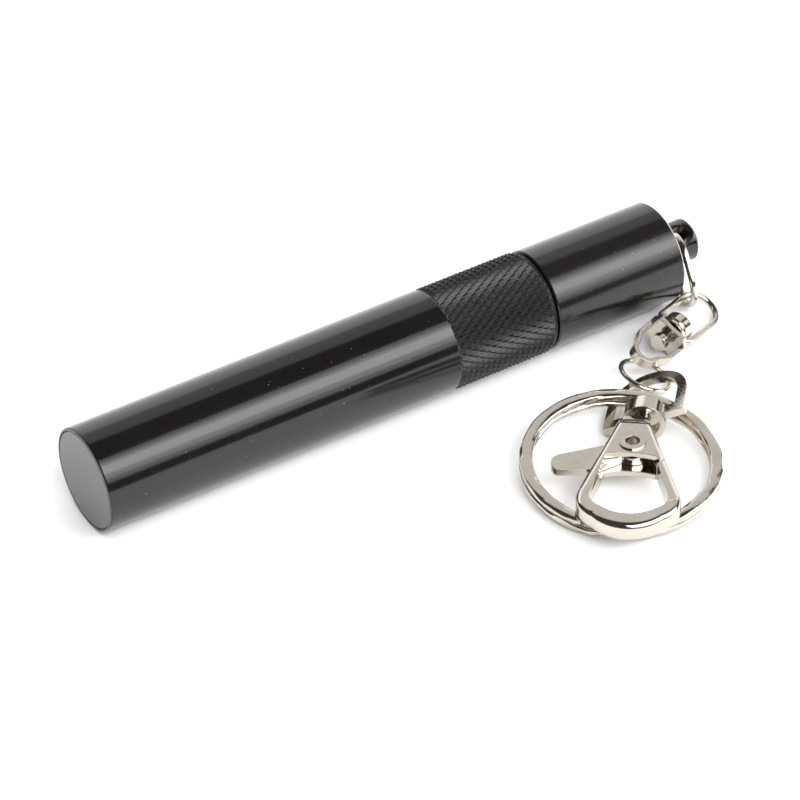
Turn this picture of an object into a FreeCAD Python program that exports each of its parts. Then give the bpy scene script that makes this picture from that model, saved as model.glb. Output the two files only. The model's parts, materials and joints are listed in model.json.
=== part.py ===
import FreeCAD, Part
import math
import os

# Keychain flashlight: a slim polished tube torch, with a swivel clasp and a split ring on a
# short chain.  Millimetres, Z up.  X runs along the tube from the centre of its lit end.  The
# pieces are drawn lying on Z = 0 and are written with that plane at Z = -TUBE_R.

V = FreeCAD.Vector
os.makedirs("parts", exist_ok=True)

# ---------------------------------------------------------------- driving dimensions
TUBE_R = 7.5            # smooth barrel
BARREL_LEN = 71.9       # lit end to the end of the grip band
KNURL_START = 55.5
KNURL_ROOT = 7.38       # floor of the grip band's grooves
CAP_R = 7.39
CAP_START = 72.05
CAP_END = 93.4
STUD_R = 3.17
STUD_END = 99.0
BORE_R = 6.2            # battery bore
RUN = 0.05              # radial clearance of a running fit

WINDOW_R = 7.05
WINDOW_T = 1.6
CELL_R = 5.25           # a 10440-size or AAA cell
CELL_LEN = 43.3
CELL_NUB = 1.2
THREAD_R = 6.5          # tail cap neck
THREAD_BORE_R = 6.55
NECK_LEN = 9.0

HOLE_X = 96.3           # stud cross hole
HOLE_R = 1.75
HOLE_LEAN = 30.0        # degrees, top of the hole towards -Y
HOLE_SINK = 0.5         # countersink of the hole's two rims


# ---------------------------------------------------------------- helpers
def save(shape, name):
    """Write one node, with the torch's axis on the origin."""
    out = shape.copy()
    out.translate(V(0, 0, -TUBE_R))
    out.exportStep("parts/%s.step" % name)


def tube(r_out, r_in, x0, x1):
    """A ring or tube about the torch's own axis."""
    body = Part.makeCylinder(r_out, x1 - x0, V(x0, 0, TUBE_R), V(1, 0, 0))
    if r_in > 0:
        body = body.cut(Part.makeCylinder(r_in, x1 - x0, V(x0, 0, TUBE_R), V(1, 0, 0)))
    return body


def lathe(points):
    """A solid turned about the torch's axis from (x, r) corners."""
    edge = [V(x, 0, TUBE_R + r) for x, r in points]
    face = Part.Face(Part.makePolygon(edge + [edge[0]]))
    return face.revolve(V(0, 0, TUBE_R), V(1, 0, 0), 360)


def placed(shape, frame):
    """A copy of a shape moved from its own frame into the torch's."""
    out = shape.copy()
    out.Placement = frame.multiply(out.Placement)
    return out


def frame_of(origin, heading, rise=0.0, roll=0.0):
    """Own +X along the heading, raised by rise and rolled about it, in degrees."""
    return FreeCAD.Placement(V(*origin), FreeCAD.Rotation(heading, -rise, roll))


def loop_wire(points, radius):
    """Round wire swept along a closed run of (start, mid, end) arcs and (start, end) lines."""
    edges = []
    for p in points:
        if len(p) == 2:
            edges.append(Part.LineSegment(V(*p[0]), V(*p[1])).toShape())
        else:
            edges.append(Part.Arc(V(*p[0]), V(*p[1]), V(*p[2])).toShape())
    path = Part.Wire(edges)
    start = edges[0].valueAt(edges[0].FirstParameter)
    along = edges[0].tangentAt(edges[0].FirstParameter)
    section = Part.Wire(Part.makeCircle(radius, start, along))
    return path.makePipeShell([section], True, True)


def outline(points, thick):
    """A plate from a closed run of lines and arcs in its own XY plane, centred on Z = 0."""
    edges = []
    for p in points:
        ends = [V(a, b, -thick / 2) for a, b in p]
        if len(p) == 2:
            edges.append(Part.LineSegment(*ends).toShape())
        else:
            edges.append(Part.Arc(*ends).toShape())
    return Part.Face(Part.Wire(edges)).extrude(V(0, 0, thick))


# ---------------------------------------------------------------- torch
def barrel():
    """Tube with its grip band, window seat and rear thread bore."""
    body = lathe([
        (0, WINDOW_R + RUN), (0, TUBE_R - 0.1), (0.1, TUBE_R), (KNURL_START - 0.15, TUBE_R),
        (KNURL_START, KNURL_ROOT), (BARREL_LEN - 0.4, KNURL_ROOT), (BARREL_LEN, KNURL_ROOT - 0.3),
        (BARREL_LEN, THREAD_BORE_R), (BARREL_LEN - NECK_LEN - 0.6, THREAD_BORE_R),
        (BARREL_LEN - NECK_LEN - 0.6, BORE_R), (WINDOW_T + 0.6, BORE_R),
        (WINDOW_T + 0.6, WINDOW_R + RUN),
    ])
    return body


def window():
    """Dark filter glass, flush with the barrel's end."""
    return lathe([(0, 0), (0, WINDOW_R - 0.12), (0.12, WINDOW_R), (WINDOW_T, WINDOW_R), (WINDOW_T, 0)])


def window_gasket():
    """Flat rubber ring between the window and its seat."""
    return tube(WINDOW_R - 0.05, 5.9, WINDOW_T, WINDOW_T + 0.6)


REFLECTOR_X = WINDOW_T + 0.62
REFLECTOR_LEN = 7.0
BOARD_X = REFLECTOR_X + REFLECTOR_LEN


def reflector():
    """Parabolic cup with a hole for the emitter."""
    steps = 10
    throat, mouth = 2.0, 5.6
    curve = []
    for i in range(steps + 1):
        r = throat + (mouth - throat) * i / steps
        depth = (REFLECTOR_LEN - 0.2) * (r * r - throat * throat) / (mouth * mouth - throat * throat)
        curve.append((BOARD_X - 0.2 - depth, r))
    outer = [(REFLECTOR_X, BORE_R - RUN), (BOARD_X, BORE_R - RUN), (BOARD_X, throat)]
    return lathe(outer + [(BOARD_X - 0.2, throat)] + curve[1:-1] + [(REFLECTOR_X, mouth)])


def emitter():
    """Square lamp package with its clear dome."""
    x = BOARD_X
    base = Part.makeBox(0.8, 2.6, 2.6, V(x - 0.8, -1.3, TUBE_R - 1.3))
    dome = Part.makeSphere(1.15, V(x - 0.8, 0, TUBE_R))
    keep = Part.makeBox(2.0, 3, 3, V(x - 2.8, -1.5, TUBE_R - 1.5))
    return base.fuse(dome.common(keep)).removeSplitter()


def lamp_board():
    """Metal-core disc under the emitter, with two wire notches."""
    body = tube(BORE_R - 0.35, 0, BOARD_X, BOARD_X + 1.0)
    for side in (-1, 1):
        notch = Part.makeCylinder(0.8, 1.0, V(BOARD_X, 0, TUBE_R + side * 5.6), V(1, 0, 0))
        body = body.cut(notch)
    return body


PILL_X = BOARD_X + 1.0
PILL_LEN = 6.0


def pill():
    """Brass cup that carries the lamp board and takes its heat."""
    return lathe([
        (PILL_X, 0.9), (PILL_X, BORE_R - 0.02), (PILL_X + PILL_LEN, BORE_R - 0.02),
        (PILL_X + PILL_LEN, 5.2), (PILL_X + 1.4, 5.2), (PILL_X + 1.4, 0.9),
    ])


DRIVER_X = PILL_X + PILL_LEN - 1.2


def driver_board():
    """Round circuit board in the mouth of the pill."""
    return tube(5.18, 0, DRIVER_X, DRIVER_X + 0.8)


def driver_parts():
    """Inductor and controller soldered to the board's front face."""
    coil = Part.makeCylinder(1.5, 1.4, V(DRIVER_X - 1.4, 1.8, TUBE_R), V(1, 0, 0))
    chip = Part.makeBox(0.8, 2.2, 3.0, V(DRIVER_X - 0.8, -3.2, TUBE_R - 1.5))
    return Part.makeCompound([coil, chip])


def contact_pad():
    """Brass button that the cell's nub presses on."""
    return tube(1.6, 0, DRIVER_X + 0.8, DRIVER_X + 1.5)


def pill_retainer():
    """Threaded ring with two spanner slots, behind the pill."""
    x0 = PILL_X + PILL_LEN
    body = tube(BORE_R - 0.02, 5.3, x0, x0 + 1.2)
    slot = Part.makeBox(0.7, 13, 1.0, V(x0 + 0.6, -6.5, TUBE_R - 0.5))
    return body.cut(slot)


CELL_X = DRIVER_X + 1.55 + CELL_NUB


def cell_can():
    """Steel can of the cell, with its rolled rear rim."""
    return lathe([
        (CELL_X, 0), (CELL_X, CELL_R - 0.4), (CELL_X + 0.4, CELL_R),
        (CELL_X + CELL_LEN - 0.4, CELL_R), (CELL_X + CELL_LEN, CELL_R - 0.4), (CELL_X + CELL_LEN, 0),
    ])


def cell_nub():
    """Positive nub."""
    return tube(1.9, 0, CELL_X - CELL_NUB, CELL_X)


def cell_sleeve():
    """Thin liner that stops the cell rattling in the wider bore."""
    return tube(BORE_R - 0.06, CELL_R + 0.08, CELL_X + 1.2, CELL_X + 40.0)


# ---------------------------------------------------------------- tail
NECK_X = CAP_START - NECK_LEN
SEAT_X = CAP_START + 1.2
CELL_END = CELL_X + CELL_LEN


def tail_cap():
    """Screw cap: threaded neck, plain satin skirt, and a stud with a cross hole."""
    ring_x = CAP_START - 2.6
    body = lathe([
        (NECK_X, 5.5), (NECK_X, THREAD_R - 0.3), (NECK_X + 0.3, THREAD_R),
        (ring_x - 0.05, THREAD_R), (ring_x - 0.05, 5.9), (ring_x + 1.15, 5.9),
        (ring_x + 1.15, THREAD_R), (CAP_START, THREAD_R), (CAP_START, CAP_R - 0.2),
        (CAP_START + 0.2, CAP_R), (CAP_END - 0.3, CAP_R), (CAP_END, CAP_R - 0.3),
        (CAP_END, STUD_R), (STUD_END - 0.5, STUD_R), (STUD_END, STUD_R - 0.5), (STUD_END, 0),
        (SEAT_X + 1.6, 0), (SEAT_X + 1.6, 5.5),
    ])
    lean = math.radians(HOLE_LEAN)
    way = V(0, -math.sin(lean), math.cos(lean))
    centre = V(HOLE_X, 0, TUBE_R)
    hole = Part.makeCylinder(HOLE_R, 12, centre - way * 6, way)
    body = body.cut(hole)
    for side in (-1, 1):
        base = centre + way * (side * (STUD_R - HOLE_SINK))
        sink = Part.makeCone(HOLE_R, HOLE_R + HOLE_SINK, HOLE_SINK + 0.05, base, way * side)
        body = body.cut(sink)
    return body


def tail_seal():
    """Rubber ring in the neck's groove."""
    x = CAP_START - 2.6 + 0.55
    return Part.makeTorus(6.22, 0.31, V(x, 0, TUBE_R), V(1, 0, 0))


def spring_seat():
    """Stepped brass disc that the tail spring is staked to."""
    return lathe([
        (SEAT_X + 0.5, 0), (SEAT_X + 0.5, 5.35), (SEAT_X + 1.4, 5.35), (SEAT_X + 1.4, 0)])


def tail_spring():
    """Tapered coil from the seat to the cell's flat end."""
    x0, x1 = CELL_END + 0.35, SEAT_X + 0.2
    turns = 4.0
    wire = 0.3
    pitch = (x1 - x0) / turns
    helix = Part.makeHelix(pitch, x1 - x0, 2.6, 7.0)
    start = helix.Edges[0].valueAt(helix.Edges[0].FirstParameter)
    along = helix.Edges[0].tangentAt(helix.Edges[0].FirstParameter)
    section = Part.Wire(Part.makeCircle(wire, start, along))
    coil = Part.Wire(helix.Edges).makePipeShell([section], True, True)
    turn = FreeCAD.Placement(V(x0, 0, TUBE_R), FreeCAD.Rotation(V(0, 1, 0), 90))
    return placed(coil, turn)


# ---------------------------------------------------------------- chain
LINK_WIRE = 0.5         # wire radius
LINK_BEND = 3.7         # bend radius of the wire's centre line
LINK_SPAN = 2.86        # between the two bend centres
LINK = frame_of((95.76, -2.41, 6.48), -99.0, -49.9, 95.1)


def oval_link():
    """Closed wire link through the stud's hole, drooping over its front."""
    r, s = LINK_BEND, LINK_SPAN
    return loop_wire([
        ((0, -r, 0), (s, -r, 0)),
        ((s, -r, 0), (s + r, 0, 0), (s, r, 0)),
        ((s, r, 0), (0, r, 0)),
        ((0, r, 0), (-r, 0, 0), (0, -r, 0)),
    ], LINK_WIRE)


# double swivel: own +X runs from the bail's side to the stirrup's tip
SWIVEL = frame_of((87.28, -11.99, 2.77), 203.5, 6.9, -26.5)
BOSS_R = 2.25
BOSS_X0, BOSS_X1 = -2.9, -0.25
PIVOT_X = -1.75
RIVET_R = 0.8
STIRRUP_LEN = 8.3
STIRRUP_HALF = 3.1
STRAP_T = 0.65
STRAP_W = 1.6
PLATE_T = 0.85
BAIL_WIRE = 0.5
BAIL_HALF = 2.85
BAIL_LEG = 6.45
BAIL_RISE = 0.7
BAIL = SWIVEL.multiply(FreeCAD.Placement(V(PIVOT_X, 0, 0), FreeCAD.Rotation(V(0, 1, 0), BAIL_RISE)))


def bail():
    """Wire loop whose two ends turn into the boss."""
    h, s, turn = BAIL_HALF, BAIL_LEG, 0.55
    k = turn * (1 - math.sqrt(0.5))
    wire = [
        ((0, -1.3, 0), (0, -h + turn, 0)),
        ((0, -h + turn, 0), (-k, -h + k, 0), (-turn, -h, 0)),
        ((-turn, -h, 0), (-s, -h, 0)),
        ((-s, -h, 0), (-s - h, 0, 0), (-s, h, 0)),
        ((-s, h, 0), (-turn, h, 0)),
        ((-turn, h, 0), (-k, h - k, 0), (0, h - turn, 0)),
        ((0, h - turn, 0), (0, 1.3, 0)),
    ]
    return loop_wire(wire, BAIL_WIRE)


def swivel_boss():
    """Round block with a waist groove, cross-drilled for the bail's ends."""
    body = Part.makeCylinder(BOSS_R, BOSS_X1 - BOSS_X0, V(BOSS_X0, 0, 0), V(1, 0, 0))
    groove = Part.makeTorus(BOSS_R, 0.22, V(BOSS_X1 - 0.75, 0, 0), V(1, 0, 0))
    shank = Part.makeCylinder(RIVET_R, 4, V(BOSS_X0 - 0.5, 0, 0), V(1, 0, 0))
    body = body.cut(groove).cut(shank)
    for side in (-1, 1):
        bore = Part.makeCylinder(BAIL_WIRE + RUN, 2.0, V(PIVOT_X, side * 1.2, 0), V(0, side, 0))
        body = body.cut(bore)
    return body


def swivel_rivet():
    """Headed pin that holds the stirrup against the boss."""
    shank = Part.makeCylinder(RIVET_R, PLATE_T + 0.1 - BOSS_X0, V(BOSS_X0, 0, 0), V(1, 0, 0))
    collar = Part.makeCylinder(1.0, 0.9, V(PLATE_T + 0.06, 0, 0), V(1, 0, 0))
    head = Part.makeCylinder(1.25, 1.0, V(PLATE_T + 0.96, 0, 0), V(1, 0, 0))
    return shank.fuse(collar).fuse(head).removeSplitter()


def stirrup():
    """Bent flat strap with a wide eight-sided base plate, drilled for the rivet."""
    h, tip, side, nose = STIRRUP_HALF, STIRRUP_LEN, 3.9, 2.1
    outer = outline([
        ((0, -h), (side, -h)), ((side, -h), (tip - nose, -nose)),
        ((tip - nose, -nose), (tip, 0), (tip - nose, nose)),
        ((tip - nose, nose), (side, h)), ((side, h), (0, h)), ((0, h), (0, -h)),
    ], STRAP_W)
    t = STRAP_T
    h, nose, tip = h - t, nose - t, tip - t
    inner = outline([
        ((PLATE_T, -h), (side, -h)), ((side, -h), (tip - nose, -nose)),
        ((tip - nose, -nose), (tip, 0), (tip - nose, nose)),
        ((tip - nose, nose), (side, h)), ((side, h), (PLATE_T, h)), ((PLATE_T, h), (PLATE_T, -h)),
    ], STRAP_W + 1)
    half, tall, cut = STIRRUP_HALF, 1.9, 0.9
    corner = [(half, tall - cut), (half - cut, tall), (cut - half, tall), (-half, tall - cut)]
    corner += [(-a, -b) for a, b in corner]
    edge = [V(0, a, b) for a, b in corner]
    plate = Part.Face(Part.makePolygon(edge + [edge[0]])).extrude(V(PLATE_T, 0, 0))
    hole = Part.makeCylinder(RIVET_R + RUN, 4, V(-1, 0, 0), V(1, 0, 0))
    return outer.cut(inner).fuse(plate).cut(hole).removeSplitter()


JUMP_WIRE = 0.375
JUMP_BEND = 3.7
JUMP = frame_of((79.72, -17.32, 2.21), 232, 12, -20)


def jump_ring():
    """Small round wire ring between the swivel and the clasp."""
    return Part.makeTorus(JUMP_BEND, JUMP_WIRE)


# ---------------------------------------------------------------- clasp
# own +X runs from the swivel to the hook, own +Z out of the front plate
EYE = frame_of((73.59, -26.01, 3.37), 228, 2, 26)
CLASP = frame_of((67.9, -31.2, 3.88), 232.7, 2.0, 0)
EYE_T = 1.2
EYE_HALF = 6.1
EYE_LEN = 9.75
EYE_SHOULDER = 3.6
EYE_STRAP = 1.5
EYE_BOSS_R = 3.0
EYE_BOSS_HALF = 1.3
POST_R = 0.8
BALL_R = 1.0
BALL_X = 3.0


def clasp_eye():
    """D-shaped eye whose base swells into a round boss around the swivel post."""
    h, w, shoulder = EYE_HALF, EYE_STRAP, EYE_SHOULDER
    outer = outline([
        ((0.8, -h), (0.8, h)), ((0.8, h), (-shoulder, h)),
        ((-shoulder, h), (-EYE_LEN, 0), (-shoulder, -h)), ((-shoulder, -h), (0.8, -h)),
    ], EYE_T)
    h = h - w
    tip = EYE_LEN - 1.2
    inner = outline([
        ((-0.8, -h), (-0.8, h)), ((-0.8, h), (-shoulder, h)),
        ((-shoulder, h), (-tip, 0), (-shoulder, -h)), ((-shoulder, -h), (-0.8, -h)),
    ], EYE_T + 1)
    half = EYE_BOSS_HALF
    boss = Part.makeCylinder(EYE_BOSS_R, 2 * half, V(-half, 0, 0), V(1, 0, 0))
    cup = Part.makeCylinder(2.2, 1.2, V(half - 1.2, 0, 0), V(1, 0, 0))
    bore = Part.makeCylinder(POST_R + RUN, 6, V(-3, 0, 0), V(1, 0, 0))
    return outer.cut(inner).fuse(boss).cut(cup).cut(bore).removeSplitter()


def clasp_post():
    """Swivel post: flat head inside the eye, ball end inside the clasp's dome."""
    start = -EYE_BOSS_HALF - 0.06
    head = Part.makeCylinder(1.7, 0.7, V(start - 0.7, 0, 0), V(1, 0, 0))
    shank = Part.makeCylinder(POST_R, BALL_X - start, V(start, 0, 0), V(1, 0, 0))
    ball = Part.makeSphere(BALL_R, V(BALL_X, 0, 0))
    return head.fuse(shank).fuse(ball).removeSplitter()


CLASP_T = 2.9
SLOT_HALF = 0.62        # half the gap between the two plates
LEVER_T = 1.1
HOOK_END = 18.2
GATE_ROOT = 5.6         # radii about the pivot
GATE_TIP = 13.6
GATE_GAP = 0.1
EYELET_R = 1.4


def clasp_outer(thick):
    """Outer contour: narrow at the swivel, wide and round at the hook."""
    return outline([
        ((-4.9, -2.35), (-5.9, 0), (-4.9, 2.35)),
        ((-4.9, 2.35), (10.6, 6.95)),
        ((10.6, 6.95), (13.7, 6.75), (15.9, 4.9)),
        ((15.9, 4.9), (HOOK_END, 0), (15.9, -4.9)),
        ((15.9, -4.9), (13.7, -6.75), (10.6, -6.95)),
        ((10.6, -6.95), (-4.9, -2.35)),
    ], thick)


def clasp_hole(thick, top):
    """The opening that the clasp closes round, from its upper edge down."""
    return outline([
        ((top + 0.6, -3.6), (top, 0), (top + 0.6, 3.6)),
        ((top + 0.6, 3.6), (10.9, 5.2)),
        ((10.9, 5.2), (13.0, 5.0), (14.2, 3.7)),
        ((14.2, 3.7), (15.6, 0), (14.2, -3.7)),
        ((14.2, -3.7), (13.0, -5.0), (10.9, -5.2)),
        ((10.9, -5.2), (top + 0.6, -3.6)),
    ], thick)


def gate_zone(r_in, r_out, thick):
    """Ring sector about the pivot that holds the gate's side of the loop."""
    ring = Part.makeCylinder(r_out, thick, V(0, 0, -thick / 2))
    ring = ring.cut(Part.makeCylinder(r_in, thick, V(0, 0, -thick / 2)))
    side = Part.makeBox(GATE_TIP + 2, 9, thick, V(0, 2.0, -thick / 2))
    return ring.common(side)


def clasp_blank():
    """Solid plate of the clasp's outline, rounded over round the hook."""
    t = CLASP_T
    blank = clasp_outer(t)
    rim = [e for e in blank.Edges if e.BoundBox.XMin > 10.5
           and abs(abs(e.BoundBox.Center.z) - t / 2) < 0.01]
    return blank.makeFillet(0.9, rim)


def clasp_body():
    """Front and back plates, left arm and round hook, in one piece."""
    t = CLASP_T
    back = clasp_hole(t + 2, 3.9)
    front = clasp_hole(t + 2, 2.4)
    front.translate(V(0, 0, SLOT_HALF + t / 2 + 1))
    body = clasp_blank().cut(back).cut(front)
    body = body.cut(gate_zone(GATE_ROOT - GATE_GAP / 2, GATE_TIP + GATE_GAP / 2, t + 2))
    slot = Part.makeBox(9.4, 24, 2 * SLOT_HALF, V(-2.85, -12, -SLOT_HALF))
    body = body.cut(slot)
    body = body.cut(Part.makeCylinder(EYELET_R, 6, V(0, 0, -3)))
    crease = Part.makeCylinder(0.42, 4.2, V(-4.55, -2.1, t / 2), V(0, 1, 0))
    return body.cut(crease)


def in_clasp(shape):
    """From the post's frame into the clasp's own."""
    return placed(shape, CLASP.inverse().multiply(EYE))


def gate_lever():
    """Thumb tab, thin tongue between the plates, and the gate that meets the hook."""
    gate = clasp_blank().cut(clasp_hole(CLASP_T + 2, 3.9))
    gate = gate.common(gate_zone(GATE_ROOT + GATE_GAP / 2, GATE_TIP - GATE_GAP / 2, CLASP_T))
    t = LEVER_T
    tongue = outline([
        ((1.3, 2.4), (5.4, 3.9)), ((5.4, 3.9), (6.4, 5.6)), ((6.4, 5.6), (3.2, 4.6)),
        ((3.2, 4.6), (-1.2, 2.4)), ((-1.2, 2.4), (1.3, 2.4)),
    ], t)
    hub = Part.makeCylinder(2.7, t, V(0, 0, -t / 2))
    tab = outline([
        ((-0.6, -2.4), (2.3, -9.6)), ((2.3, -9.6), (3.9, -10.9), (5.8, -10.0)),
        ((5.8, -10.0), (5.3, -5.2)), ((5.3, -5.2), (2.2, -1.2)), ((2.2, -1.2), (-0.6, -2.4)),
    ], t)
    body = gate.fuse(hub).fuse(tongue).fuse(tab)
    body = body.cut(Part.makeCylinder(EYELET_R + RUN, 4, V(0, 0, -2)))
    pocket = Part.makeCylinder(2.15, 0.6, V(0, 0, t / 2 - 0.6))
    return body.cut(pocket).removeSplitter()


def gate_eyelet():
    """Tubular rivet with a rolled flange on each plate."""
    half = CLASP_T / 2
    shape = Part.makeCylinder(EYELET_R, CLASP_T, V(0, 0, -half))
    for side in (-1, 1):
        flange = Part.makeCylinder(1.9, 0.22, V(0, 0, side * half), V(0, 0, side))
        shape = shape.fuse(flange)
    return shape.cut(Part.makeCylinder(1.0, CLASP_T + 2, V(0, 0, -half - 1)))


def gate_spring():
    """Open coil of fine wire in the lever's pocket, round the rivet."""
    coil = Part.makeTorus(1.8, 0.2, V(0, 0, 0.3))
    gap = Part.makeBox(2.5, 0.7, 1, V(0, -0.35, -0.2))
    return coil.cut(gap)


# ---------------------------------------------------------------- split ring
RING_OUT = 14.0
RING_IN = 12.1
COIL_T = 1.12
COIL_GAP = 0.05
RING_POS = V(66.19, -30.96, 1.08)
RING_NORMAL = V(-0.0107, -0.0735, 1)
JOGGLE_START = 215.0    # degrees, where the wire climbs to the upper coil
JOGGLE_SWEEP = 26.0


def ring_section(angle, height):
    """Wire section standing in the radial plane at an angle."""
    a = math.radians(angle)
    way = V(math.cos(a), math.sin(a), 0)
    low, high = V(0, 0, height), V(0, 0, height + COIL_T)
    corner = [way * RING_IN + low, way * RING_OUT + low, way * RING_OUT + high, way * RING_IN + high]
    return Part.makePolygon(corner + [corner[0]])


def split_ring():
    """Two turns of flat wire, joined by a joggle."""
    step = COIL_T + COIL_GAP
    sweep = 360.0 - JOGGLE_SWEEP - 3.0
    low = Part.Face(ring_section(JOGGLE_START, 0)).revolve(V(), V(0, 0, 1), -sweep)
    end = JOGGLE_START + JOGGLE_SWEEP
    high = Part.Face(ring_section(end, step)).revolve(V(), V(0, 0, 1), sweep)
    parts = 8
    cuts = []
    for i in range(parts + 1):
        f = i / parts
        rise = step * (f - math.sin(2 * math.pi * f) / (2 * math.pi))
        cuts.append(ring_section(JOGGLE_START + JOGGLE_SWEEP * f, rise))
    climb = Part.makeLoft(cuts, True, True)
    return low.fuse(climb).fuse(high).removeSplitter()


RING = FreeCAD.Placement(RING_POS, FreeCAD.Rotation(V(0, 0, 1), RING_NORMAL))

node = {}


def build():
    """Every node in its place."""
    node["barrel_tube"] = barrel()
    node["filter_window"] = window()
    node["window_gasket"] = window_gasket()
    node["reflector_cup"] = reflector()
    node["led_emitter"] = emitter()
    node["led_board"] = lamp_board()
    node["heat_pill"] = pill()
    node["driver_board"] = driver_board()
    node["driver_parts"] = driver_parts()
    node["contact_pad"] = contact_pad()
    node["pill_retainer"] = pill_retainer()
    node["cell_can"] = cell_can()
    node["cell_nub"] = cell_nub()
    node["cell_sleeve"] = cell_sleeve()
    node["tail_cap"] = tail_cap()
    node["tail_seal"] = tail_seal()
    node["spring_seat"] = spring_seat()
    node["tail_spring"] = tail_spring()
    node["oval_link"] = placed(oval_link(), LINK)
    node["swivel_bail"] = placed(bail(), BAIL)
    node["swivel_boss"] = placed(swivel_boss(), SWIVEL)
    node["swivel_rivet"] = placed(swivel_rivet(), SWIVEL)
    node["swivel_stirrup"] = placed(stirrup(), SWIVEL)
    node["jump_ring"] = placed(jump_ring(), JUMP)
    node["clasp_eye"] = placed(clasp_eye(), EYE)
    node["clasp_post"] = placed(clasp_post(), EYE)
    room = in_clasp(Part.makeSphere(BALL_R + RUN, V(BALL_X, 0, 0)))
    way = in_clasp(Part.makeCylinder(POST_R + 0.1, BALL_X + 2, V(-2, 0, 0), V(1, 0, 0)))
    node["clasp_body"] = placed(clasp_body().cut(room).cut(way), CLASP)
    node["gate_lever"] = placed(gate_lever(), CLASP)
    node["gate_eyelet"] = placed(gate_eyelet(), CLASP)
    node["gate_spring"] = placed(gate_spring(), CLASP)
    node["split_ring"] = placed(split_ring(), RING)


build()
for name, shape in node.items():
    save(shape, name)
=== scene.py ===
import json
import math
import bpy
from mathutils import Matrix, Vector, noise


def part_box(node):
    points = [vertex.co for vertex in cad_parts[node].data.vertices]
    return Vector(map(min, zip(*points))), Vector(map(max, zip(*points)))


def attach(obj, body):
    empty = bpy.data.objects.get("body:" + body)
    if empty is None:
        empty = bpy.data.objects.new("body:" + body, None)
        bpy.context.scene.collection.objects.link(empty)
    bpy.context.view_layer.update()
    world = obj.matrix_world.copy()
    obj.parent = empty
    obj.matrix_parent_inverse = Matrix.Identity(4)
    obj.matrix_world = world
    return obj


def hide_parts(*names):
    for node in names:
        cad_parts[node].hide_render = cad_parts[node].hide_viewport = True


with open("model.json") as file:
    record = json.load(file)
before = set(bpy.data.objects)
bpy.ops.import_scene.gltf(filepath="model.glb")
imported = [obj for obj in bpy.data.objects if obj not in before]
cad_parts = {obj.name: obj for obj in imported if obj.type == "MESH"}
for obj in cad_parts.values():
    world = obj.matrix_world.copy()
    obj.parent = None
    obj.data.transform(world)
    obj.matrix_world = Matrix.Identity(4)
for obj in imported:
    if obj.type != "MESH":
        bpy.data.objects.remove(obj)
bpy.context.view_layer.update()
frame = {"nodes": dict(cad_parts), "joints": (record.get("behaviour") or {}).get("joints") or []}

# Keychain flashlight: a polished black tube torch with a nickel swivel clasp and split ring.
# Metres.  X runs along the tube from the centre of its lit end, Z is up.

MM = 0.001
NODES = frame["nodes"]

# ---------------------------------------------------------------- places, from the frame
barrel_low, barrel_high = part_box("barrel_tube")
cap_low, cap_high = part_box("tail_cap")
TUBE_R = barrel_high.z
BARREL_LEN = barrel_high.x
FLOOR_Z = barrel_low.z
STUD_LEN = 5.6 * MM
STUD_START = cap_high.x - STUD_LEN      # the cap's rear face
WINDOW_SEAT_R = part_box("filter_window")[1].z + 0.05 * MM
WINDOW_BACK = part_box("window_gasket")[1].x

# ---------------------------------------------------------------- camera
camera_data = bpy.data.cameras.new("camera")
camera = bpy.data.objects.new("camera", camera_data)
bpy.context.collection.objects.link(camera)
bpy.context.scene.camera = camera
camera_data.sensor_width = 36.0
camera_data.lens = 188.74
AIM = Vector((44.65, -8.61, 0.0)) * MM
DISTANCE = 576.1 * MM
AZIMUTH = math.radians(-31.545)
ELEVATION = math.radians(39.419)
ROLL = math.radians(-0.837)
back = Vector((
    math.sin(AZIMUTH) * math.cos(ELEVATION),
    -math.cos(AZIMUTH) * math.cos(ELEVATION),
    math.sin(ELEVATION),
))
level = Vector((math.cos(AZIMUTH), math.sin(AZIMUTH), 0.0))
right = level * math.cos(ROLL) + back.cross(level) * math.sin(ROLL)
camera.rotation_mode = "QUATERNION"
camera.location = AIM + back * DISTANCE
camera.rotation_quaternion = Matrix((right, back.cross(right), back)).transposed().to_quaternion()
camera_data.clip_start = 0.01
camera_data.clip_end = 50.0


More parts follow.
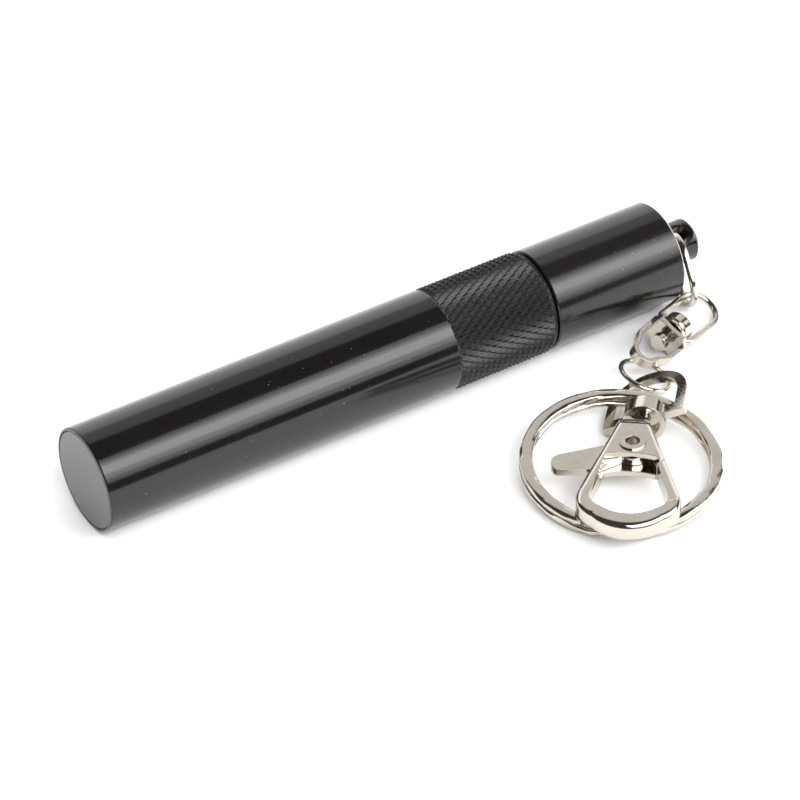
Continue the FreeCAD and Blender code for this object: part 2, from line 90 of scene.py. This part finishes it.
# ---------------------------------------------------------------- materials
class Finish:
    """One procedural material, with coordinates in millimetres of the object's own frame."""

    def __init__(self, name):
        self.material = bpy.data.materials.new(name)
        self.material.use_nodes = True
        self.tree = self.material.node_tree
        self.tree.nodes.clear()
        self.shader = self.node("ShaderNodeBsdfPrincipled")
        output = self.node("ShaderNodeOutputMaterial")
        self.join(self.shader.outputs["BSDF"], output.inputs["Surface"])
        place = self.node("ShaderNodeTexCoord")
        scaled = self.node("ShaderNodeVectorMath", operation="SCALE")
        scaled.inputs["Scale"].default_value = 1.0 / MM
        self.join(place.outputs["Object"], scaled.inputs[0])
        self.mm = scaled.outputs[0]

    def node(self, kind, **settings):
        """A new node with its settings."""
        made = self.tree.nodes.new(kind)
        for key, value in settings.items():
            setattr(made, key, value)
        return made

    def join(self, source, target):
        self.tree.links.new(source, target)

    def noise(self, scale, detail=3.0, stretch=(1, 1, 1), shift=0.0):
        """Noise whose grains are 1 / scale millimetres, drawn out where stretch is small."""
        spread = self.node("ShaderNodeMapping")
        spread.inputs["Scale"].default_value = stretch
        spread.inputs["Location"].default_value = (shift, shift * 0.7, -shift)
        self.join(self.mm, spread.inputs["Vector"])
        grain = self.node("ShaderNodeTexNoise")
        grain.inputs["Scale"].default_value = scale
        grain.inputs["Detail"].default_value = detail
        self.join(spread.outputs[0], grain.inputs["Vector"])
        return grain.outputs["Fac"]

    def band(self, value, low, high, to_low=0.0, to_high=1.0):
        """value mapped from low..high to to_low..to_high and held there."""
        remap = self.node("ShaderNodeMapRange")
        for socket, number in zip(("From Min", "From Max", "To Min", "To Max"),
                                  (low, high, to_low, to_high)):
            remap.inputs[socket].default_value = number
        self.join(value, remap.inputs["Value"])
        return remap.outputs[0]

    def sum(self, operation, a, b):
        """Two values, each a socket or a number, put through one math operation."""
        made = self.node("ShaderNodeMath", operation=operation)
        for socket, value in zip(made.inputs, (a, b)):
            if isinstance(value, (int, float)):
                socket.default_value = value
            else:
                self.join(value, socket)
        return made.outputs[0]

    def mix(self, amount, low, high):
        """Colour low where amount is 0, high where it is 1."""
        made = self.node("ShaderNodeMix", data_type="RGBA")
        self.join(amount, made.inputs[0])
        for socket, colour in ((made.inputs[6], low), (made.inputs[7], high)):
            if isinstance(colour, tuple):
                socket.default_value = (*colour, 1.0)
            else:
                self.join(colour, socket)
        return made.outputs[2]

    def axis(self, name):
        """One coordinate in millimetres."""
        split = self.node("ShaderNodeSeparateXYZ")
        self.join(self.mm, split.inputs[0])
        return split.outputs[name]

    def colour(self, source):
        """Base colour from a socket."""
        self.join(source, self.shader.inputs["Base Color"])

    def rough(self, source):
        """Roughness from a socket."""
        self.join(source, self.shader.inputs["Roughness"])

    def relief(self, layers, edge=0.0):
        """Bump layers of (height, depth in millimetres), over edges eased by edge millimetres."""
        normal = None
        if edge:
            eased = self.node("ShaderNodeBevel", samples=4)
            eased.inputs["Radius"].default_value = edge * MM
            normal = eased.outputs["Normal"]
        for height, depth in layers:
            bump = self.node("ShaderNodeBump")
            bump.inputs["Strength"].default_value = 1.0
            bump.inputs["Distance"].default_value = depth * MM
            self.join(height, bump.inputs["Height"])
            if normal:
                self.join(normal, bump.inputs["Normal"])
            normal = bump.outputs["Normal"]
        self.join(normal, self.shader.inputs["Normal"])

    def set(self, **values):
        """The shader's own values, with underscores for spaces."""
        for name, value in values.items():
            self.shader.inputs[name.replace("_", " ")].default_value = value


def specks(finish, scale=0.55, rare=0.70):
    """A mask of sparse small specks, 0 to 1."""
    return finish.band(finish.noise(scale * 6, 1.0, shift=11.0), rare, rare + 0.05)


def gloss_black():
    """Polished black anodising: deep colour, faint turning lines, a few dust specks."""
    f = Finish("gloss_black")
    cloud = f.noise(0.12)
    turned = f.noise(9.0, 2.0, (1.0, 0.02, 0.02))
    dust = specks(f, 0.5, 0.78)
    base = f.mix(cloud, (0.0040, 0.0036, 0.0035), (0.0070, 0.0065, 0.0062))
    f.colour(f.mix(dust, base, (0.30, 0.29, 0.28)))
    grip = f.band(f.axis("X"), 55.3, 55.6)
    polish = f.band(cloud, 0.35, 0.65, 0.11, 0.14)
    f.rough(f.sum("ADD", polish, f.sum("MULTIPLY", grip, 0.24)))
    f.relief([(turned, 0.0006), (f.noise(0.5), 0.004)], edge=0.06)
    f.set(IOR=1.52)
    return f.material


def filter_glass():
    """Near-black filter glass with a soft haze and tiny nicks at its edge."""
    f = Finish("dark_filter_glass")
    radius = f.node("ShaderNodeVectorMath", operation="LENGTH")
    flat = f.node("ShaderNodeVectorMath", operation="MULTIPLY")
    flat.inputs[1].default_value = (0.0, 1.0, 1.0)
    f.join(f.mm, flat.inputs[0])
    f.join(flat.outputs[0], radius.inputs[0])
    rim = f.band(radius.outputs["Value"], 6.55, 7.02)
    nick = f.sum("MULTIPLY", rim, f.band(f.noise(2.4, 4.0), 0.60, 0.68))
    haze = f.noise(0.25, 5.0)
    base = f.mix(haze, (0.040, 0.040, 0.042), (0.058, 0.056, 0.056))
    f.colour(f.mix(nick, base, (0.20, 0.15, 0.11)))
    f.rough(f.band(haze, 0.3, 0.7, 0.16, 0.24))
    f.relief([(nick, 0.02), (f.noise(0.9, 4.0), 0.001)], edge=0.08)
    f.set(IOR=1.66)
    return f.material


def satin_black():
    """Turned black anodising: fine rings round the axis, with a painted highlight as a thin bright line on
    the rear rim.
    """
    f = Finish("satin_black")
    x = f.axis("X")
    rings = f.noise(14.0, 3.0, (1.0, 0.015, 0.015))
    cloud = f.noise(0.25, 4.0)
    dust = specks(f, 0.45, 0.775)
    rear = STUD_START / MM
    # Painted highlight: a thin, patchy bright line painted along the rear rim's edge, standing in for its
    # glint.
    near_rim = f.band(x, rear - 0.32, rear - 0.24)
    past_rim = f.band(x, rear - 0.1, rear - 0.02, 1, 0)
    rim = f.sum("MULTIPLY", near_rim, past_rim)
    rim_glint = f.sum("MULTIPLY", rim, f.band(f.noise(1.2, 3.0, shift=5.0), 0.30, 0.50, 0.35, 1.0))
    base = f.mix(rings, (0.0055, 0.0050, 0.0048), (0.0110, 0.0102, 0.0096))
    dusty = f.mix(dust, base, (0.34, 0.33, 0.32))
    # The rear rim's painted highlight is laid over the dusty black here.
    f.colour(f.mix(rim_glint, dusty, (0.40, 0.38, 0.35)))
    stud = f.band(x, rear, rear + 0.1)
    satin = f.band(f.sum("ADD", rings, f.sum("MULTIPLY", cloud, 0.4)), 0.4, 1.0, 0.13, 0.21)
    f.rough(f.sum("SUBTRACT", satin, f.sum("MULTIPLY", stud, 0.08)))
    f.relief([(rings, 0.0012), (f.noise(0.4), 0.003)], edge=0.12)
    f.set(IOR=1.52)
    return f.material


def nickel(name, wave=0.5, depth=0.012, polish=(0.07, 0.15), stretch=(1, 1, 1)):
    """Bright nickel plate: warm, slightly wavy, with hairline scratches and small pits."""
    f = Finish(name)
    swell = f.noise(wave, 2.0, stretch)
    hairs = f.noise(3.5, 4.0, (1.0, 0.12, 0.35), 3.0)
    pits = f.band(f.noise(4.0, 2.0, shift=7.0), 0.68, 0.76)
    tone = f.mix(f.noise(0.35, 3.0, shift=2.0), (0.52, 0.475, 0.42), (0.65, 0.605, 0.54))
    f.colour(f.mix(pits, tone, (0.24, 0.20, 0.16)))
    f.rough(f.band(hairs, 0.35, 0.68, *polish))
    f.relief([(swell, depth), (hairs, 0.0008), (pits, -0.003)], edge=0.18)
    f.set(Metallic=1.0)
    return f.material


def bare_metal(name, dark, light, lines=(1, 1, 1), polish=(0.25, 0.40)):
    """Machined or drawn metal, with tool lines and slight tarnish."""
    f = Finish(name)
    cut = f.noise(6.0, 3.0, lines)
    tarnish = f.noise(0.5, 4.0, shift=4.0)
    f.colour(f.mix(f.sum("MULTIPLY", cut, tarnish), light, dark))
    f.rough(f.band(tarnish, 0.3, 0.7, *polish))
    f.relief([(cut, 0.004)], edge=0.05)
    f.set(Metallic=1.0)
    return f.material


def moulded(name, dark, light, grain=2.0, polish=(0.4, 0.6), depth=0.01):
    """Moulded or printed plastic and rubber, with a fine grain."""
    f = Finish(name)
    skin = f.noise(grain, 4.0)
    patch = f.noise(0.3, 2.0, shift=6.0)
    f.colour(f.mix(patch, dark, light))
    f.rough(f.band(skin, 0.3, 0.7, *polish))
    f.relief([(skin, depth)], edge=0.05)
    return f.material


def circuit_board():
    """Green board with paler copper runs under its mask."""
    f = Finish("circuit_board")
    weave = f.node("ShaderNodeTexBrick")
    weave.inputs["Scale"].default_value = 0.55
    weave.inputs["Mortar Size"].default_value = 0.03
    f.join(f.mm, weave.inputs["Vector"])
    run = f.band(weave.outputs["Fac"], 0.2, 0.8)
    green = f.mix(f.noise(1.5), (0.012, 0.075, 0.030), (0.020, 0.110, 0.045))
    f.colour(f.mix(run, green, (0.055, 0.210, 0.075)))
    f.rough(f.band(f.noise(3.0), 0.3, 0.7, 0.30, 0.42))
    f.relief([(run, 0.03)])
    return f.material


def pale_floor():
    """White sweep, with the slight unevenness of coated paper."""
    f = Finish("pale_floor")
    f.colour(f.mix(f.noise(0.01, 4.0), (0.90, 0.90, 0.90), (0.93, 0.93, 0.93)))
    f.rough(f.band(f.noise(0.2, 3.0), 0.3, 0.7, 0.75, 0.9))
    f.relief([(f.noise(0.8, 3.0), 0.01)])
    return f.material


MATERIALS = {
    "gloss_black": gloss_black(),
    "dark_filter_glass": filter_glass(),
    "satin_black": satin_black(),
    "nickel_plate": nickel("nickel_plate"),
    "nickel_ring": nickel("nickel_ring", 0.33, 0.05, (0.08, 0.17), (1.0, 1.0, 2.0)),
    "rubber_black": moulded("rubber_black", (0.012, 0.012, 0.012), (0.022, 0.021, 0.020), 3.0, (0.6, 0.8)),
    "bright_aluminium": bare_metal("bright_aluminium", (0.70, 0.71, 0.72), (0.88, 0.89, 0.90),
                                   (1.0, 0.03, 0.03), (0.06, 0.14)),
    "lamp_package": moulded("lamp_package", (0.60, 0.52, 0.18), (0.80, 0.74, 0.40), 4.0, (0.08, 0.2), 0.004),
    "brass": bare_metal("brass", (0.55, 0.38, 0.14), (0.80, 0.60, 0.28), (1.0, 0.03, 0.03)),
    "circuit_board": circuit_board(),
    "component_black": moulded("component_black", (0.018, 0.018, 0.018), (0.032, 0.031, 0.030), 6.0),
    "cell_wrap": moulded("cell_wrap", (0.30, 0.31, 0.33), (0.42, 0.43, 0.45), 0.8, (0.25, 0.4)),
    "plain_steel": bare_metal("plain_steel", (0.40, 0.39, 0.38), (0.62, 0.61, 0.60), (1.0, 0.2, 0.2)),
    "liner_plastic": moulded("liner_plastic", (0.62, 0.62, 0.60), (0.72, 0.72, 0.69), 1.0, (0.35, 0.5)),
}

FINISHES = {
    "dark_filter_glass": ["filter_window"],
    "rubber_black": ["window_gasket", "tail_seal"],
    "bright_aluminium": ["reflector_cup"],
    "lamp_package": ["led_emitter"],
    "brass": ["heat_pill", "pill_retainer", "contact_pad"],
    "circuit_board": ["led_board", "driver_board"],
    "component_black": ["driver_parts"],
    "cell_wrap": ["cell_can"],
    "plain_steel": ["cell_nub", "tail_spring", "spring_seat"],
    "liner_plastic": ["cell_sleeve"],
    "satin_black": ["tail_cap"],
    "nickel_plate": [
        "oval_link", "swivel_bail", "swivel_boss", "swivel_rivet", "swivel_stirrup", "jump_ring",
        "clasp_eye", "clasp_post", "clasp_body", "gate_lever", "gate_eyelet", "gate_spring",
    ],
}


def dress(piece, material):
    """Give every face of a piece one material."""
    slots = piece.material_slots
    if not slots:
        piece.data.materials.append(material)
    for slot in slots:
        slot.link = "OBJECT"
        slot.material = material


for finish_name, dressed in FINISHES.items():
    for node_name in dressed:
        dress(NODES[node_name], MATERIALS[finish_name])


# ---------------------------------------------------------------- mesh pieces
def surface(name, points, faces, material, body, node, crease=25.0):
    """A smooth mesh piece with sharp creases, riding on a body in a node's place."""
    mesh = bpy.data.meshes.new(name)
    mesh.from_pydata(points, [], faces)
    mesh.validate()
    mesh.polygons.foreach_set("use_smooth", [True] * len(mesh.polygons))
    mesh.set_sharp_from_angle(angle=math.radians(crease))
    piece = bpy.data.objects.new(name, mesh)
    bpy.context.collection.objects.link(piece)
    mesh.materials.append(material)
    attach(piece, body)
    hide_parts(node)
    return piece


# Grip band: two crossed sets of V grooves leave small pyramids.
GRIP_START = 55.5 * MM
GRIP_ROOT = 7.16 * MM
GRIP_DEPTH = 0.44 * MM
GRIP_STARTS = 42                    # grooves of each set, counted round the tube
STEPS_PER_GROOVE = 12
GRIP_SLOPE = 0.58                   # travel round the tube for one unit along it
ROUND_STEPS = GRIP_STARTS * STEPS_PER_GROOVE
GRIP_PITCH = 2 * math.pi * TUBE_R / GRIP_STARTS
ROW_STEP = GRIP_PITCH / GRIP_SLOPE / STEPS_PER_GROOVE
GRIP_END_ROOM = 0.55 * MM           # left for the band's rounded rear edge
GRIP_ROWS = int((BARREL_LEN - GRIP_END_ROOM - GRIP_START) / ROW_STEP)
BORE_R = 6.2 * MM
THREAD_BORE_R = 6.55 * MM
THREAD_BORE_LEN = 9.6 * MM


def groove(step):
    """0 in a groove's floor, 1 on the ridge between two grooves."""
    share = (step % STEPS_PER_GROOVE) / STEPS_PER_GROOVE
    return 1 - abs(2 * share - 1)


def grip_radius(turn, row):
    """Radius at one point of the grip band, with its two ends run out."""
    top = min(groove(turn + row), groove(turn - row))
    ends = min(1.0, row / 2, (GRIP_ROWS - row) / 2 + 0.35)
    return GRIP_ROOT + GRIP_DEPTH * top * ends


def knurled_barrel():
    """The tube: plain front, grip band, rounded rear edge and its bores."""
    plain = [
        (0.0, WINDOW_SEAT_R), (0.0, TUBE_R - 0.22 * MM), (0.06 * MM, TUBE_R - 0.07 * MM),
        (0.22 * MM, TUBE_R), (20 * MM, TUBE_R), (40 * MM, TUBE_R),
        (GRIP_START - 0.16 * MM, TUBE_R), (GRIP_START - 0.05 * MM, TUBE_R - 0.05 * MM),
        (GRIP_START - 0.02 * MM, GRIP_ROOT),
    ]
    last = GRIP_START + GRIP_ROWS * ROW_STEP
    rest = BARREL_LEN - last
    rear = [
        (last + rest * 0.35, GRIP_ROOT + 0.16 * MM), (last + rest * 0.7, GRIP_ROOT + 0.02 * MM),
        (BARREL_LEN, GRIP_ROOT - 0.3 * MM), (BARREL_LEN, THREAD_BORE_R),
        (BARREL_LEN - THREAD_BORE_LEN, THREAD_BORE_R), (BARREL_LEN - THREAD_BORE_LEN, BORE_R),
        (WINDOW_BACK, BORE_R), (WINDOW_BACK, WINDOW_SEAT_R),
    ]
    rows = [[(x, r)] * ROUND_STEPS for x, r in plain]
    for row in range(GRIP_ROWS + 1):
        x = GRIP_START + row * ROW_STEP
        rows.append([(x, grip_radius(turn, row)) for turn in range(ROUND_STEPS)])
    rows += [[(x, r)] * ROUND_STEPS for x, r in rear]
    points = []
    for ring in rows:
        for turn, (x, r) in enumerate(ring):
            angle = 2 * math.pi * turn / ROUND_STEPS
            points.append((x, r * math.cos(angle), r * math.sin(angle)))
    faces = []
    for row in range(len(rows)):
        after = (row + 1) % len(rows)
        banded = len(plain) <= row < len(plain) + GRIP_ROWS
        for turn in range(ROUND_STEPS):
            near = (turn + 1) % ROUND_STEPS
            a, b = row * ROUND_STEPS + turn, row * ROUND_STEPS + near
            c, d = after * ROUND_STEPS + near, after * ROUND_STEPS + turn
            if not banded:
                faces.append((a, b, c, d))
            elif rows[row][turn][1] + rows[after][near][1] < rows[row][near][1] + rows[after][turn][1]:
                faces += [(a, b, c), (a, c, d)]     # the groove runs from a to c
            else:
                faces += [(a, b, d), (b, c, d)]
    return surface("knurled_barrel", points, faces, MATERIALS["gloss_black"],
                   "barrel", "barrel_tube", 14.0)


knurled_barrel()

# Split ring: two turns of flat wire with softened, unevenly pressed faces.
COIL_THICK = 1.12 * MM
COIL_RISE = 1.17 * MM               # from one turn to the next
RING_MEAN = 13.05 * MM
RING_HALF_WIDTH = 0.95 * MM
CLIMB_START = 215.0                 # degrees, where the wire climbs to its upper turn
CLIMB_SWEEP = 26.0
COIL_SWEEP = 331.0
SECTION_STEPS = 28
SECTION_POWER = 0.72                # 1 is an ellipse, towards 0 is a box
PRESS_DEPTH = 0.26 * MM
PRESS_RATE = 4.6                    # pressed marks round the ring, as noise per radian
CUT_DEGREES = 1.2                   # between the wire's sections
END_CUTS = 3                        # sections over which each end of the wire narrows
END_LOSS = 0.25


def ring_wire():
    """The split ring's wire, standing in the frame of the joint that it turns on."""
    joint = next(j for j in frame["joints"] if j["name"] == "ring_turn")
    stand = Vector((0, 0, 1)).rotation_difference(Vector(joint["axis"]))
    centre = Vector(joint["pos_m"])
    first = CLIMB_START - COIL_SWEEP
    last = CLIMB_START + CLIMB_SWEEP + COIL_SWEEP
    cuts = int((last - first) / CUT_DEGREES)
    points = []
    for cut in range(cuts + 1):
        degrees = first + (last - first) * cut / cuts
        climb = min(1.0, max(0.0, (degrees - CLIMB_START) / CLIMB_SWEEP))
        rise = COIL_RISE * (climb - math.sin(2 * math.pi * climb) / (2 * math.pi))
        angle = math.radians(degrees)
        taper = 1 - END_LOSS * max(0.0, 1 - min(cut, cuts - cut) / END_CUTS)
        for step in range(SECTION_STEPS):
            side = 2 * math.pi * step / SECTION_STEPS
            c, s = math.cos(side), math.sin(side)
            wide = math.copysign(abs(c) ** SECTION_POWER, c)
            tall = math.copysign(abs(s) ** SECTION_POWER, s)
            where = Vector((angle * PRESS_RATE, 1.3 * c, 1.3 * s + 9 * climb))
            press = PRESS_DEPTH * max(0.0, noise.noise(where) + 0.15) * (0.4 + 0.6 * abs(c))
            r = RING_MEAN + (RING_HALF_WIDTH * taper - press) * wide
            z = rise + COIL_THICK / 2 + (COIL_THICK / 2 * taper - press * 0.6) * tall
            points.append(centre + stand @ Vector((r * math.cos(angle), r * math.sin(angle), z)))
    faces = []
    for cut in range(cuts):
        for step in range(SECTION_STEPS):
            near = (step + 1) % SECTION_STEPS
            a, b = cut * SECTION_STEPS, (cut + 1) * SECTION_STEPS
            faces.append((a + step, b + step, b + near, a + near))
    faces.append(tuple(range(SECTION_STEPS)))
    faces.append(tuple(cuts * SECTION_STEPS + step for step in reversed(range(SECTION_STEPS))))
    return surface("ring_wire", points, faces, MATERIALS["nickel_ring"],
                   "ring", "split_ring", 40.0)


ring_wire()


# ---------------------------------------------------------------- floor and light
FLOOR_WIDTH = 8.0


def floor():
    """A large pale floor under the torch."""
    half = FLOOR_WIDTH / 2
    mesh = bpy.data.meshes.new("floor")
    corners = [(-half, -half), (half, -half), (half, half), (-half, half)]
    mesh.from_pydata([(x, y, FLOOR_Z) for x, y in corners], [], [(0, 1, 2, 3)])
    piece = bpy.data.objects.new("floor", mesh)
    bpy.context.collection.objects.link(piece)
    mesh.materials.append(pale_floor())


def softbox(name, turn, reach, across, along, radiance, lean=0.40, mirrored=True):
    """A soft panel lying along X, turned about X from +Y by turn degrees, reach away."""
    side = math.sqrt(1 - lean * lean)
    angle = math.radians(turn)
    toward = Vector((lean, side * math.cos(angle), side * math.sin(angle)))
    data = bpy.data.lights.new(name, "AREA")
    data.shape = "RECTANGLE"
    data.size = along
    data.size_y = across
    data.energy = radiance * math.pi * across * along
    lamp = bpy.data.objects.new(name, data)
    bpy.context.collection.objects.link(lamp)
    lamp.location = AIM + toward * reach
    along_x = Vector((1.0, 0.0, 0.0))
    face = (AIM - lamp.location).normalized()
    long_way = (along_x - face * along_x.dot(face)).normalized()
    up_way = (-face).cross(long_way)
    lamp.rotation_mode = "QUATERNION"
    lamp.rotation_quaternion = Matrix((long_way, up_way, -face)).transposed().to_quaternion()
    lamp.visible_glossy = mirrored


floor()
softbox("key_wide", 136, 1.25, 1.12, 2.6, 1.9)
softbox("key_middle", 135, 1.22, 0.72, 2.5, 1.9)
softbox("key_core", 133, 1.19, 0.36, 2.4, 2.6)
softbox("back_fill", 34, 1.40, 1.70, 2.8, 0.75)
softbox("back_low", 14, 1.36, 1.10, 2.8, 0.75)
softbox("top_fill", 90, 1.60, 3.00, 3.0, 1.3, lean=0.0, mirrored=False)

world = bpy.data.worlds.new("studio")
bpy.context.scene.world = world
world.use_nodes = True
world.node_tree.nodes["Background"].inputs["Color"].default_value = (1.0, 0.99, 0.98, 1.0)
world.node_tree.nodes["Background"].inputs["Strength"].default_value = 0.07
bpy.context.scene.view_settings.view_transform = "Standard"
